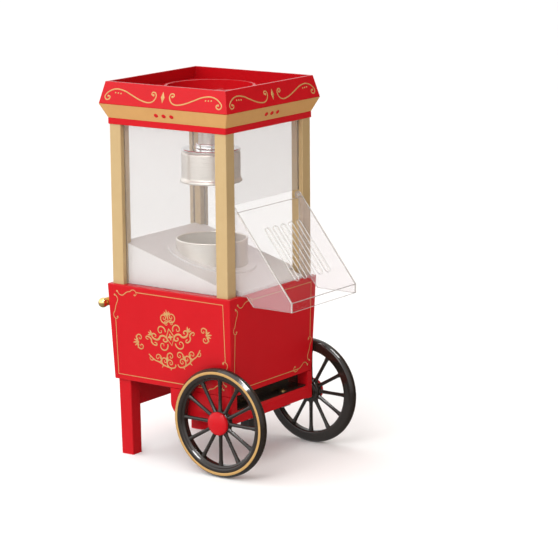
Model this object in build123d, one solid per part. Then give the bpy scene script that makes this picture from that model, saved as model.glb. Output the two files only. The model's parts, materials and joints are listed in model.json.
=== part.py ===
from build123d import *
import math
import os

# Tabletop popcorn cart. Millimetres, +Z up, the serving chute faces -Y.
# The cabinet is drawn about x = y = 0 and the whole cart is shifted along Y on
# export, so that the origin is the middle of its footprint on the ground.

# Overall reach
TOTAL_HEIGHT = 445.0
HOOD_FRONT_Y = -160.0
HANDLE_Y = 108.0
BALL_RADIUS = 6.0
HANDLE_REAR_Y = HANDLE_Y + BALL_RADIUS
SHIFT_Y = -(HOOD_FRONT_Y + HANDLE_REAR_Y) / 2

# Base box, which widens towards the top
BASE_BOTTOM_Z = 92.0
BASE_TOP_Z = 207.5
BASE_TOP_HALF = (87.0, 89.0)
BASE_BOTTOM_HALF = (81.0, 85.5)
BASE_WALL = 2.5
BASE_CORNER = 1.6
PAN_THICK = 3.0
BOSS_RADIUS = 4.5
BOSS_REACH = (60.0, 50.0)
PAN_SCREW_RADIUS = 1.5
FIT_GAP = 0.4
BASE_EDGE = 1.2
VENT_COUNT = 5
VENT_SIZE = (34.0, 2.6)
VENT_PITCH = 6.0

# Cabinet: four pillars with window panes let into them
PILLAR = 16.0
PILLAR_OUTER = (83.0, 83.5)
PILLAR_INNER = (PILLAR_OUTER[0] - PILLAR, PILLAR_OUTER[1] - PILLAR)
PANE = 2.0
PANE_X = 76.0
PANE_Y = 77.0
GROOVE_DEPTH = 3.2
GROOVE_WIDTH = PANE + 0.2
PANE_TUCK = 2.8
FRONT_PANE_BOTTOM_Z = 312.0

# Canopy, from its lower edge to its rim
SKIRT_Z = 395.5
BAND_Z = 403.0
CROWN_Z = 419.5
SKIRT_HALF = 84.5
CROWN_HALF = 92.0
RIM_HALF = 86.0
CANOPY_WALL = 3.0
CANOPY_CORNER = 1.0
CANOPY_EDGE = 0.7
DECK_Z = 431.0
DECK_THICK = 2.5
WELL_RADIUS = 50.0
WELL_WALL = 3.0
WELL_TOP_Z = 437.0
LEDGE_Z = 422.0
LEDGE_THICK = 2.0
LEDGE_RADIUS = 44.0
CAP_PLATE = 2.5
CAP_GRIP = (48.0, 6.0, 5.5)
CAP_CUP_RADIUS = 28.0
CAP_CUP_WALL = 2.0
CAP_CUP_DEPTH = 10.0
FUNNEL_WALL = 1.5

# Kettle, hung from the canopy on the cabinet's middle line
NECK_RADIUS = 14.5
NECK_WALL = 1.2
NECK_TOP_Z = 400.0
FLANGE_RADIUS = 17.5
FLANGE_TOP_Z = 369.5
FLANGE_Z = 363.5
DRUM_RADIUS = 35.0
DRUM_WALL = 1.2
DRUM_TOP_Z = 361.5
DRUM_Z = 324.0
DRUM_RIM_RADIUS = 36.6
DRUM_RIM_HEIGHT = 4.0

# Ramp that carries the popped corn to the chute
RAMP_MID_Z = 236.0
RAMP_SLOPE = 0.283
RAMP_HALF_X = 73.5
RAMP_HALF_Y = 67.2
RAMP_TONGUE_HALF_X = 60.0
RAMP_FRONT_Y = -86.0
RAMP_BACK_HALF_X = 66.4
RAMP_BACK_Y = 74.5
RAMP_THICK = 2.5
RAMP_HOLE_RADIUS = 44.0

# Hot-air unit inside the base
CHAMBER_RADIUS = 42.0
CHAMBER_WALL = 1.5
CHAMBER_Z = 180.0
CHAMBER_TOP_Z = 256.0
DECK_HOLE_RADIUS = 46.0
DUCT_RADIUS = 44.0
DUCT_WALL = 1.2
FAN_CASE_RADIUS = 50.0
FAN_CASE_Z = 124.0
FAN_CASE_TOP_Z = 150.0
FAN_CASE_WALL = 2.0
FAN_INLET_RADIUS = 30.0
FAN_RADIUS = 41.0
FAN_BLADES = 12
MOTOR_RADIUS = 18.0
MOTOR_Z = 98.0
MOTOR_TOP_Z = 121.5
SHAFT_RADIUS = 1.5
RUNNING_GAP = 0.05
COIL_TURNS = 5
COIL_RADIUS = 27.0
COIL_Z = 156.0
COIL_PITCH = 4.0
WIRE_RADIUS = 1.1
COIL_FRAME_HALF = 36.0
CHAMBER_SLOTS = 18
CASE_LEG_RADIUS = 4.0
CASE_LEG_REACH = 44.0
MOUNT_ARM = (36.0, 8.0)

# Chute hood, hinged on the front pillars
HOOD_HALF_X = 65.0
HOOD_WALL = 2.0
HOOD_TOP = (-85.3, 305.2)
HOOD_FOLD_Z = 208.5
HOOD_LIP_Z = 197.5
HOOD_NOTCH_Z = 208.0
HOOD_NOTCH_Y = -97.0
HOOD_CORNER = 9.0
HOOD_BACK_Y = -80.0
HINGE_Y = -79.0
HINGE_Z = 306.0
EAR_RADIUS = 4.5
PIN_REACH = 4.0
SLOT_COUNT = 5
SLOT_PITCH = 15.5
SLOT_WIDTH = 7.0
SLOT_LENGTH = 71.0
SLOT_START = 27.0

# Wheels and underframe
WHEEL_RADIUS = 64.0
AXLE_Y = -77.0
AXLE_Z = WHEEL_RADIUS
AXLE_RADIUS = 3.0
RIM_INNER_RADIUS = 50.0
RIM_INNER_X = 85.5
RIM_OUTER_X = 97.5
RIM_EDGE = 3.6
STRIPE_RADIUS = 59.2
STRIPE_WIDTH = 3.2
STRIPE_DEPTH = 0.6
STRIPE_STAND = 0.25
SPOKE_COUNT = 12
SPOKE_RADIUS = 2.3
SPOKE_X = 91.0
HUB_RADIUS = 14.0
HUB_INNER_X = 82.5
HUB_OUTER_X = 94.0
CAP_RADIUS = 13.7
CAP_EDGE_X = 97.0
CAP_TOP_X = 101.5
BRACKET_OUTER_X = 81.0
BRACKET_THICK = 10.0
BRACKET_FRONT_Y = -86.0
BRACKET_REAR_Y = 3.0
BRACKET_Z = 59.0
BRACKET_ROUND = 17.0
BRACKET_EDGE = 1.5
BEAM_HALF_X = BRACKET_OUTER_X - BRACKET_THICK
BEAM_BACK_Y = -58.0
BEAM_Z = 60.0
BEAM_TOP_Z = 74.0
RAIL_Y = (-46.0, -22.0)
RAIL_Z = (46.0, 68.0)
LEG_TOP = (18.0, 18.0)
LEG_FOOT = (17.0, 17.0)
LEG_TOP_OUTER = (77.5, 82.5)
LEG_FOOT_OUTER = (76.0, 81.0)
APRON_Z = 57.0
APRON_Y = (70.0, 78.0)

# Rear fittings
HANDLE_Z = 179.0
HANDLE_HALF_X = 72.0
BAR_RADIUS = 3.2
POST_X = 62.0
SWITCH_Z = 128.0
ROCKER_SIZE = (14.0, 22.0)
ROCKER_TILT = 6.0
GLAND_X = 48.0
GLAND_Z = 116.0
GLAND_HOLE_RADIUS = 6.2


def block(x0, x1, y0, y1, z0, z1):
    """A box between two corners."""
    size = (x1 - x0, y1 - y0, z1 - z0)
    return Pos((x0 + x1) / 2, (y0 + y1) / 2, (z0 + z1) / 2) * Box(*size)


def rod(radius, z0, z1):
    """A cylinder on the Z axis between two heights."""
    return Pos(0, 0, (z0 + z1) / 2) * Cylinder(radius, z1 - z0)


def tube(outer, inner, z0, z1):
    """A ring or tube on the Z axis."""
    return rod(outer, z0, z1) - rod(inner, z0 - 1, z1 + 1)


def rod_x(radius, x0, x1, y, z):
    """A cylinder along X at (y, z)."""
    return Pos((x0 + x1) / 2, y, z) * (Rot(0, 90, 0) * Cylinder(radius, x1 - x0))


def tapered(half0, z0, half1, z1, corner):
    """A four-sided box that changes size between two heights."""
    low = Pos(0, 0, z0) * RectangleRounded(2 * half0[0], 2 * half0[1], corner)
    high = Pos(0, 0, z1) * RectangleRounded(2 * half1[0], 2 * half1[1], corner)
    return loft([low, high])


def base_half(z, inset=0.0):
    """Half width and half depth of the base box at a height."""
    share = (z - BASE_BOTTOM_Z) / (BASE_TOP_Z - BASE_BOTTOM_Z)
    spans = zip(BASE_BOTTOM_HALF, BASE_TOP_HALF)
    return tuple(low + share * (high - low) - inset for low, high in spans)


def rear_face(x, z):
    """A place on the rear of the base box whose local Z points outwards."""
    lean = math.degrees(math.atan2(BASE_TOP_HALF[1] - BASE_BOTTOM_HALF[1], BASE_TOP_Z - BASE_BOTTOM_Z))
    return Pos(x, base_half(z)[1], z) * Rot(-90 - lean, 0, 0)


def circle_edges(shape, radius):
    """The round edges of one radius."""
    rounds = shape.edges().filter_by(GeomType.CIRCLE)
    return rounds.filter_by(lambda edge: abs(edge.radius - radius) < 0.1)


def ramp_z(y):
    """Height of the ramp's upper surface."""
    return RAMP_MID_Z + RAMP_SLOPE * y


def prism_x(points, x0, x1):
    """A solid with a given (y, z) outline, from x0 to x1."""
    outline = make_face(Polyline(*[(y, z) for y, z in points], close=True))
    return Pos(x0, 0, 0) * extrude(Plane.YZ * outline, x1 - x0)


# ---------------------------------------------------------------- base box

def boss_places():
    """Where the four screws hold the chassis pan."""
    x, y = BOSS_REACH
    return [Pos(sx * x, sy * y, 0) for sx in (-1, 1) for sy in (-1, 1)]


def base_shell():
    """The four walls of the base, with the cut-outs of the rear fittings."""
    shell = tapered(BASE_BOTTOM_HALF, BASE_BOTTOM_Z, BASE_TOP_HALF, BASE_TOP_Z, BASE_CORNER)
    levels = shell.edges().group_by(Axis.Z)
    shell = fillet(levels[0] + levels[-1], BASE_EDGE)
    low = base_half(BASE_BOTTOM_Z, BASE_WALL)
    high = base_half(BASE_TOP_Z, BASE_WALL)
    shell -= tapered(low, BASE_BOTTOM_Z, high, BASE_TOP_Z, BASE_CORNER)
    shell -= rear_face(0, SWITCH_Z) * Box(ROCKER_SIZE[0] + 6.4, ROCKER_SIZE[1] + 6.4, 12)
    shell -= rear_face(GLAND_X, GLAND_Z) * Cylinder(GLAND_HOLE_RADIUS, 12)
    for sx in (-1, 1):
        shell -= rear_face(sx * POST_X, HANDLE_Z) * Cylinder(BAR_RADIUS + RUNNING_GAP, 12)
    for row in range(VENT_COUNT):
        shell -= rear_face(-GLAND_X, GLAND_Z + VENT_PITCH * row) * Box(*VENT_SIZE, 12)
    return shell


def base_deck():
    """Top of the base, open over the popping chamber, with the bosses under it."""
    under = BASE_TOP_Z - BASE_WALL
    low = base_half(under, BASE_WALL)
    high = base_half(BASE_TOP_Z, BASE_WALL)
    deck = tapered(low, under, high, BASE_TOP_Z, BASE_CORNER)
    deck -= rod(DECK_HOLE_RADIUS, under - 1, BASE_TOP_Z + 1)
    boss = tube(BOSS_RADIUS, PAN_SCREW_RADIUS, BASE_BOTTOM_Z + PAN_THICK, under)
    for place in boss_places():
        deck += place * boss
    return deck


def chassis_pan():
    """Black cover that closes the base, with the air intake in its middle."""
    half = base_half(BASE_BOTTOM_Z, BASE_WALL + FIT_GAP)
    pan = tapered(half, BASE_BOTTOM_Z, half, BASE_BOTTOM_Z + PAN_THICK, BASE_CORNER)
    for row in range(-3, 4):
        pan -= Pos(0, 7 * row, BASE_BOTTOM_Z) * Box(56 - 5 * abs(row), 3, 20)
    for place in boss_places():
        pan -= place * rod(PAN_SCREW_RADIUS + 0.3, BASE_BOTTOM_Z - 1, BASE_BOTTOM_Z + 5)
    return pan


def pan_screws():
    screws = Part()
    head_z = BASE_BOTTOM_Z - 1.6
    screw = rod(3.4, head_z, BASE_BOTTOM_Z) + rod(PAN_SCREW_RADIUS - 0.02, head_z, BASE_BOTTOM_Z + 12)
    screw -= Pos(0, 0, head_z) * Box(4.4, 0.8, 1.4)
    for place in boss_places():
        screws += place * screw
    return screws


# ---------------------------------------------------------------- underframe

def axle_beam():
    """Cross beam over the axle, which lies in a groove along its underside."""
    y0 = BRACKET_FRONT_Y
    top_round = 2.5
    points = [(y0, BEAM_Z), (BEAM_BACK_Y, BEAM_Z), (BEAM_BACK_Y, BEAM_TOP_Z),
              (y0 + top_round, BEAM_TOP_Z), (y0, BEAM_TOP_Z - top_round)]
    beam = prism_x(points, -BEAM_HALF_X, BEAM_HALF_X)
    reach = AXLE_RADIUS + RUNNING_GAP
    beam -= block(-80, 80, AXLE_Y - reach, AXLE_Y + reach, BEAM_Z - 1, AXLE_Z)
    return beam - rod_x(reach, -80, 80, AXLE_Y, AXLE_Z)


def axle_spacer():
    """Black shelf and wall between the beam and the base."""
    shelf_top = BEAM_TOP_Z + 2
    half = BEAM_HALF_X - FIT_GAP
    shelf = block(-half, half, BRACKET_FRONT_Y + 2.5, BEAM_BACK_Y, BEAM_TOP_Z, shelf_top)
    wall = block(-half, half, -72, BEAM_BACK_Y, shelf_top, BASE_BOTTOM_Z)
    return shelf + wall


def spacer_screws():
    screws = Part()
    top = BEAM_TOP_Z + 2
    for x in (-31, 31):
        screw = rod(4.4, top, top + 1.2) - Pos(0, 0, top + 1.2) * Box(6, 1, 1)
        screws += Pos(x, -78, 0) * screw
    return screws


def axle_keepers():
    """Plates that close the beam's groove under the axle."""
    plates = Part()
    for x in (-33, 33):
        plates += block(x - 8, x + 8, BRACKET_FRONT_Y + 4, -64, BEAM_Z - 3, BEAM_Z)
    return plates


def axle_bracket(side):
    """Side plate below the base, with a rounded rear corner."""
    z_top = BASE_BOTTOM_Z
    with BuildPart() as plate:
        with BuildSketch(Plane.YZ):
            with BuildLine():
                Polyline((BRACKET_REAR_Y, z_top), (BRACKET_FRONT_Y, z_top), (BRACKET_FRONT_Y, BRACKET_Z),
                         (BRACKET_REAR_Y - BRACKET_ROUND, BRACKET_Z))
                TangentArc((BRACKET_REAR_Y - BRACKET_ROUND, BRACKET_Z),
                           (BRACKET_REAR_Y, BRACKET_Z + BRACKET_ROUND), tangent=(1, 0))
                Line((BRACKET_REAR_Y, BRACKET_Z + BRACKET_ROUND), (BRACKET_REAR_Y, z_top))
            make_face()
        extrude(amount=BRACKET_THICK)
    outer_face = plate.part.faces().sort_by(Axis.X)[-1 if side > 0 else 0]
    rounded = outer_face.edges().filter_by(lambda edge: edge.center().Z < z_top - 1)
    shape = fillet(rounded, BRACKET_EDGE)
    inner = BRACKET_OUTER_X - BRACKET_THICK
    start = inner if side > 0 else -BRACKET_OUTER_X
    shape = Pos(start, 0, 0) * shape
    return shape - rod_x(AXLE_RADIUS + RUNNING_GAP, start - 1, start + BRACKET_THICK + 1, AXLE_Y, AXLE_Z)


def underframe_rail():
    rail = block(-BEAM_HALF_X, BEAM_HALF_X, *RAIL_Y, *RAIL_Z)
    return fillet(rail.edges().filter_by(Axis.X), 1.5)


def rail_bumper():
    bumper = block(-10, 10, RAIL_Y[0] - 12, RAIL_Y[0], 34, 58)
    return fillet(bumper.edges().filter_by(Axis.X).group_by(Axis.Z)[0], 3)


def axle():
    end = HUB_OUTER_X + 2
    return rod_x(AXLE_RADIUS, -end, end, AXLE_Y, AXLE_Z)


def axle_washers():
    washers = Part()
    ring = tube(6.5, AXLE_RADIUS + RUNNING_GAP, 0, 1.2)
    for side in (-1, 1):
        inner_x = BRACKET_OUTER_X if side > 0 else -BRACKET_OUTER_X - 1.2
        washers += Pos(inner_x, AXLE_Y, AXLE_Z) * (Rot(0, 90, 0) * ring)
    return washers


def rear_leg(side):
    """Square post, slightly slimmer at the foot."""
    foot_x = side * (LEG_FOOT_OUTER[0] - LEG_FOOT[0] / 2)
    foot_y = LEG_FOOT_OUTER[1] - LEG_FOOT[1] / 2
    top_x = side * (LEG_TOP_OUTER[0] - LEG_TOP[0] / 2)
    top_y = LEG_TOP_OUTER[1] - LEG_TOP[1] / 2
    foot = Pos(foot_x, foot_y, 0) * RectangleRounded(*LEG_FOOT, 1.5)
    top = Pos(top_x, top_y, BASE_BOTTOM_Z) * RectangleRounded(*LEG_TOP, 1.5)
    return loft([foot, top])


def rear_apron():
    half = LEG_FOOT_OUTER[0] - LEG_TOP[0]
    board = block(-half, half, *APRON_Y, APRON_Z, BASE_BOTTOM_Z)
    return board - rear_leg(-1) - rear_leg(1)


# ---------------------------------------------------------------- wheels

def wheel_rim(side):
    """Rim, spokes and hub moulded in one, turning on the axle."""
    width = RIM_OUTER_X - RIM_INNER_X
    rim = tube(WHEEL_RADIUS, RIM_INNER_RADIUS, RIM_INNER_X, RIM_OUTER_X)
    rim = fillet(circle_edges(rim, WHEEL_RADIUS), RIM_EDGE)
    rim = fillet(circle_edges(rim, RIM_INNER_RADIUS), width / 8)
    groove = tube(STRIPE_RADIUS + STRIPE_WIDTH / 2, STRIPE_RADIUS - STRIPE_WIDTH / 2,
                  RIM_OUTER_X - STRIPE_DEPTH, RIM_OUTER_X + 1)
    rim -= groove
    hub = rod(HUB_RADIUS, HUB_INNER_X + 3, HUB_OUTER_X) + rod(HUB_RADIUS - 4, HUB_INNER_X, HUB_INNER_X + 3)
    reach = RIM_INNER_RADIUS + 2 - HUB_RADIUS / 2
    middle = HUB_RADIUS / 2 + reach / 2
    for turn in range(SPOKE_COUNT):
        spoke = Pos(middle, 0, SPOKE_X) * (Rot(0, 90, 0) * Cylinder(SPOKE_RADIUS, reach))
        rim += Rot(0, 0, turn * 360 / SPOKE_COUNT) * spoke
    rim += hub
    rim -= rod(AXLE_RADIUS + RUNNING_GAP, HUB_INNER_X - 1, HUB_OUTER_X + 1)
    return on_axle(rim, side)


def wheel_stripe(side):
    ring = tube(STRIPE_RADIUS + STRIPE_WIDTH / 2, STRIPE_RADIUS - STRIPE_WIDTH / 2,
                RIM_OUTER_X - STRIPE_DEPTH, RIM_OUTER_X + STRIPE_STAND)
    return on_axle(ring, side)


def hub_cap(side):
    """Domed cap over the axle's end."""
    rise = CAP_TOP_X - CAP_EDGE_X
    dome_radius = (CAP_RADIUS ** 2 + rise ** 2) / (2 * rise)
    dome = Pos(0, 0, CAP_TOP_X - dome_radius) * Sphere(dome_radius)
    dome &= rod(CAP_RADIUS, HUB_OUTER_X, CAP_TOP_X)
    dome -= rod(AXLE_RADIUS + 3, HUB_OUTER_X - 1, HUB_OUTER_X + 2.6)
    return on_axle(dome, side)


def on_axle(shape, side):
    """Turn a piece drawn along +Z onto the axle, facing out of one side."""
    return Pos(0, AXLE_Y, AXLE_Z) * (Rot(0, 90 * side, 0) * shape)


# ---------------------------------------------------------------- rear fittings

def handle_bar():
    bar = rod_x(BAR_RADIUS, -HANDLE_HALF_X, HANDLE_HALF_X, HANDLE_Y, HANDLE_Z)
    for sx in (-1, 1):
        bar += Pos(sx * HANDLE_HALF_X, HANDLE_Y, HANDLE_Z) * Sphere(BALL_RADIUS)
    return bar


def handle_posts():
    posts = Part()
    reach = HANDLE_Y - base_half(HANDLE_Z)[1]
    for sx in (-1, 1):
        post = rod(BAR_RADIUS, -4, reach) + rod(6.5, 0, 2) + rod(5, 2, 3.5)
        posts += rear_face(sx * POST_X, HANDLE_Z) * post
    eye = rod_x(5, POST_X - 4, POST_X + 4, HANDLE_Y, HANDLE_Z)
    posts += eye + mirror(eye, Plane.YZ)
    return posts - rod_x(BAR_RADIUS, -80, 80, HANDLE_Y, HANDLE_Z)


def switch_housing():
    """Bezel and body of the rocker switch, open towards the rear."""
    wide, tall = ROCKER_SIZE
    body = Pos(0, 0, -6) * Box(wide + 6, tall + 6, 16)
    bezel = Pos(0, 0, 1) * Box(wide + 10, tall + 10, 2)
    hollow = Pos(0, 0, -1) * Box(wide + 1, tall + 1, 12)
    pivot = Rot(0, 90, 0) * Cylinder(1.55, wide + 4)
    return rear_face(0, SWITCH_Z) * (body + bezel - hollow - pivot)


def switch_rocker():
    """Rocker in its off position, with two angled faces and pivot stubs."""
    wide, tall = ROCKER_SIZE
    outline = make_face(Polyline((-tall / 2, -2.2), (tall / 2, -2.2), (tall / 2, 3.2), (0, 1.6),
                                 (-tall / 2, 3.2), close=True))
    body = extrude(Plane.YZ * outline, wide / 2, both=True)
    pivot = Rot(0, 90, 0) * Cylinder(1.5, wide + 3.4)
    return rear_face(0, SWITCH_Z) * (Rot(ROCKER_TILT, 0, 0) * (body + pivot))


def cord_gland():
    gland = rod(GLAND_HOLE_RADIUS - RUNNING_GAP, -6, 0) + rod(8, 0, 2) + rod(5, 2, 6) - rod(3.2, -8, 8)
    return rear_face(GLAND_X, GLAND_Z) * gland


# ---------------------------------------------------------------- cabinet

def pillar(side_x, side_y):
    """Square post with grooves for the panes; drawn for the +X +Y corner."""
    x0, y0 = PILLAR_INNER
    x1, y1 = PILLAR_OUTER
    post = block(x0, x1, y0, y1, BASE_TOP_Z, SKIRT_Z)
    post = fillet(post.edges().filter_by(Axis.Z), 1.0)
    w = GROOVE_WIDTH / 2
    post -= block(PANE_X - w, PANE_X + w, y0 - 1, y0 + GROOVE_DEPTH, BASE_TOP_Z - 1, SKIRT_Z + 1)
    low = BASE_TOP_Z - 1 if side_y > 0 else FRONT_PANE_BOTTOM_Z - 0.5
    post -= block(x0 - 1, x0 + GROOVE_DEPTH, PANE_Y - w, PANE_Y + w, low, SKIRT_Z + 1)
    if side_y < 0:
        post -= rod_x(SHAFT_RADIUS + RUNNING_GAP, x0 - 1, x0 + PIN_REACH + 0.5, -HINGE_Y, HINGE_Z)
        post = mirror(post, Plane.XZ)
    return post if side_x > 0 else mirror(post, Plane.YZ)


def side_window(side):
    half = PILLAR_INNER[1] + PANE_TUCK
    pane = block(PANE_X - PANE / 2, PANE_X + PANE / 2, -half, half, BASE_TOP_Z, SKIRT_Z)
    return pane if side > 0 else mirror(pane, Plane.YZ)


def rear_window():
    half = PILLAR_INNER[0] + PANE_TUCK
    return block(-half, half, PANE_Y - PANE / 2, PANE_Y + PANE / 2, BASE_TOP_Z, SKIRT_Z)


def front_window():
    half = PILLAR_INNER[0] + PANE_TUCK
    return block(-half, half, -PANE_Y - PANE / 2, -PANE_Y + PANE / 2, FRONT_PANE_BOTTOM_Z, SKIRT_Z)


def ramp_wedge(half_x, y0, y1, drop=0.0, low=BASE_TOP_Z):
    """Solid under the sloping surface, lowered by drop, between two depths."""
    points = [(y0, low), (y1, low), (y1, ramp_z(y1) - drop), (y0, ramp_z(y0) - drop)]
    return prism_x(points, -half_x, half_x)


def popcorn_ramp():
    ramp = ramp_wedge(RAMP_HALF_X, -RAMP_HALF_Y, RAMP_HALF_Y)
    ramp += ramp_wedge(RAMP_BACK_HALF_X, 0, RAMP_BACK_Y)
    ramp += ramp_wedge(RAMP_TONGUE_HALF_X, RAMP_FRONT_Y, 0)
    inner = RAMP_HALF_X - RAMP_THICK
    ramp -= ramp_wedge(inner, -RAMP_HALF_Y + 4, RAMP_HALF_Y - RAMP_THICK, RAMP_THICK, BASE_TOP_Z - 1)
    return ramp - rod(RAMP_HOLE_RADIUS, BASE_TOP_Z - 1, 300)


def chamber_collar():
    """Sloping ring on the ramp around the mouth of the popping chamber."""
    slab = ramp_wedge(60, -60, 60, -2.0) - ramp_wedge(61, -61, 61, 0.0, BASE_TOP_Z - 1)
    return slab & tube(52, CHAMBER_RADIUS + 0.4, BASE_TOP_Z, 300)


# ---------------------------------------------------------------- hot-air unit

def popping_chamber():
    """Open-topped can with slanted air slots and a low cone in its floor."""
    inner = CHAMBER_RADIUS - CHAMBER_WALL
    can = rod(CHAMBER_RADIUS, CHAMBER_Z, CHAMBER_TOP_Z)
    can -= rod(inner, CHAMBER_Z + CHAMBER_WALL, CHAMBER_TOP_Z + 1)
    can += Pos(0, 0, CHAMBER_TOP_Z) * Torus(CHAMBER_RADIUS - CHAMBER_WALL / 2, 1.3)
    can += Pos(0, 0, CHAMBER_Z + CHAMBER_WALL + 6) * Cone(16, 1, 12)
    for turn in range(CHAMBER_SLOTS):
        slot = Pos(CHAMBER_RADIUS, 0, CHAMBER_Z + 14) * (Rot(25, 0, 0) * Box(8, 2, 14))
        can -= Rot(0, 0, turn * 360 / CHAMBER_SLOTS) * slot
    return can


def air_duct():
    """Steel sleeve that carries hot air from the fan to the chamber."""
    sleeve_top = BASE_TOP_Z - BASE_WALL - 0.4
    sleeve = tube(DUCT_RADIUS + 3.5, DUCT_RADIUS + 3.5 - DUCT_WALL, FAN_CASE_TOP_Z, sleeve_top)
    foot = tube(DUCT_RADIUS + 5, DUCT_RADIUS, FAN_CASE_TOP_Z, FAN_CASE_TOP_Z + DUCT_WALL)
    shelf = tube(DUCT_RADIUS + 3, CHAMBER_RADIUS - 6, CHAMBER_Z - DUCT_WALL, CHAMBER_Z)
    return sleeve + foot + shelf


def coil_turn(turn, wire_radius):
    return Pos(0, 0, COIL_Z + COIL_PITCH * turn) * Torus(COIL_RADIUS - turn, wire_radius)


def heater_coil():
    """Stacked turns of resistance wire."""
    coil = Part()
    for turn in range(COIL_TURNS):
        coil += coil_turn(turn, WIRE_RADIUS)
    return coil


def heater_frame():
    """Crossed insulating plates, notched where the coil passes."""
    half = COIL_FRAME_HALF
    low = COIL_Z - COIL_PITCH
    high = COIL_Z + COIL_PITCH * COIL_TURNS
    frame = block(-half, half, -0.8, 0.8, low, high) + block(-0.8, 0.8, -half, half, low, high)
    for turn in range(COIL_TURNS):
        frame -= coil_turn(turn, WIRE_RADIUS + 0.2)
    return frame


def thermostat():
    """Round cut-out on the side of the duct, with two blade terminals."""
    face_x = DUCT_RADIUS + 3.5
    cut_out = rod_x(8, face_x, face_x + 6, 0, 168)
    for side in (-1, 1):
        y0, y1 = sorted((3.5 * side, 5.0 * side))
        cut_out += block(face_x + 5.5, face_x + 11.5, y0, y1, 165, 171)
    return cut_out


def fan_housing():
    inner = FAN_CASE_RADIUS - FAN_CASE_WALL
    case = rod(FAN_CASE_RADIUS, FAN_CASE_Z, FAN_CASE_TOP_Z)
    case -= rod(inner, FAN_CASE_Z + FAN_CASE_WALL, FAN_CASE_TOP_Z - FAN_CASE_WALL)
    case -= rod(FAN_INLET_RADIUS, FAN_CASE_Z - 1, FAN_CASE_Z + 5)
    outlet = tube(DUCT_RADIUS - 2, DUCT_RADIUS - 6, FAN_CASE_TOP_Z - 5, FAN_CASE_TOP_Z + 1)
    bridges = block(-60, 60, -3, 3, 100, 200) + block(-3, 3, -60, 60, 100, 200)
    case -= outlet - bridges
    leg = Pos(CASE_LEG_REACH, 0, 0) * rod(CASE_LEG_RADIUS, BASE_BOTTOM_Z + PAN_THICK, FAN_CASE_Z)
    for turn in range(3):
        case += Rot(0, 0, 30 + 120 * turn) * leg
    return case


def motor_mount():
    """Three-armed plate that hangs the motor under the fan case."""
    plate = rod(15, MOTOR_TOP_Z, FAN_CASE_Z)
    long, wide = MOUNT_ARM
    for turn in range(3):
        plate += Rot(0, 0, 90 + 120 * turn) * block(0, long, -wide / 2, wide / 2, MOTOR_TOP_Z, FAN_CASE_Z)
    return plate - rod(5, MOTOR_TOP_Z - 1, FAN_CASE_Z + 1)


def motor_body():
    can = rod(MOTOR_RADIUS, MOTOR_Z, MOTOR_TOP_Z)
    can = fillet(can.edges().filter_by(GeomType.CIRCLE), 1.5)
    return can - rod(SHAFT_RADIUS + RUNNING_GAP, MOTOR_Z + 4, MOTOR_TOP_Z + 1)


def fan_shaft():
    return rod(SHAFT_RADIUS, MOTOR_Z + 4.5, FAN_CASE_TOP_Z - 5)


def fan_impeller():
    disc_z = FAN_CASE_Z + 6
    fan = rod(FAN_RADIUS, disc_z, disc_z + 1.5) + rod(5, disc_z, FAN_CASE_TOP_Z - 6)
    for turn in range(FAN_BLADES):
        blade = Pos(FAN_RADIUS - 8, 0, disc_z + 7.5) * (Rot(0, 0, 35) * Box(14, 1.2, 13))
        fan += Rot(0, 0, turn * 360 / FAN_BLADES) * blade
    fan &= rod(FAN_RADIUS, disc_z, FAN_CASE_TOP_Z - 4)
    return fan - rod(SHAFT_RADIUS, disc_z - 1, FAN_CASE_TOP_Z)


# ---------------------------------------------------------------- canopy

def square(half):
    return (half, half)


def hollow_ring(half0, z0, half1, z1, edge=0.0):
    """Four-sided sloping band of even thickness, its outer edges rounded by edge."""
    outer = tapered(square(half0), z0, square(half1), z1, CANOPY_CORNER)
    if edge:
        levels = outer.edges().group_by(Axis.Z)
        outer = fillet(levels[0] + levels[-1], edge)
    inner = tapered(square(half0 - CANOPY_WALL), z0, square(half1 - CANOPY_WALL), z1, CANOPY_CORNER)
    return outer - inner


def canopy_skirt():
    return hollow_ring(SKIRT_HALF, SKIRT_Z, SKIRT_HALF, BAND_Z, CANOPY_EDGE)


def canopy_band():
    return hollow_ring(SKIRT_HALF, BAND_Z, CROWN_HALF, CROWN_Z)


def canopy_crown():
    """Sloping sides, sunken deck and the round well that takes the measuring cap."""
    crown = hollow_ring(CROWN_HALF, CROWN_Z, RIM_HALF, TOTAL_HEIGHT, CANOPY_EDGE)
    deck_half = CROWN_HALF - CANOPY_WALL - 1
    deck = block(-deck_half, deck_half, -deck_half, deck_half, DECK_Z - DECK_THICK, DECK_Z)
    lower_half = CROWN_HALF - CANOPY_WALL / 2
    upper_half = RIM_HALF - CANOPY_WALL / 2
    crown += deck & tapered(square(lower_half), CROWN_Z, square(upper_half), TOTAL_HEIGHT, CANOPY_CORNER)
    crown += rod(WELL_RADIUS + WELL_WALL, LEDGE_Z - LEDGE_THICK, WELL_TOP_Z)
    crown -= rod(WELL_RADIUS, LEDGE_Z, WELL_TOP_Z + 1)
    return crown - rod(LEDGE_RADIUS, LEDGE_Z - 5, LEDGE_Z + 1)


def canopy_ceiling():
    half = square(SKIRT_HALF - CANOPY_WALL - 0.2)
    plate = tapered(half, SKIRT_Z, half, SKIRT_Z + 3, CANOPY_CORNER)
    return plate - rod(NECK_RADIUS + 0.2, SKIRT_Z - 1, SKIRT_Z + 5)


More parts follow.
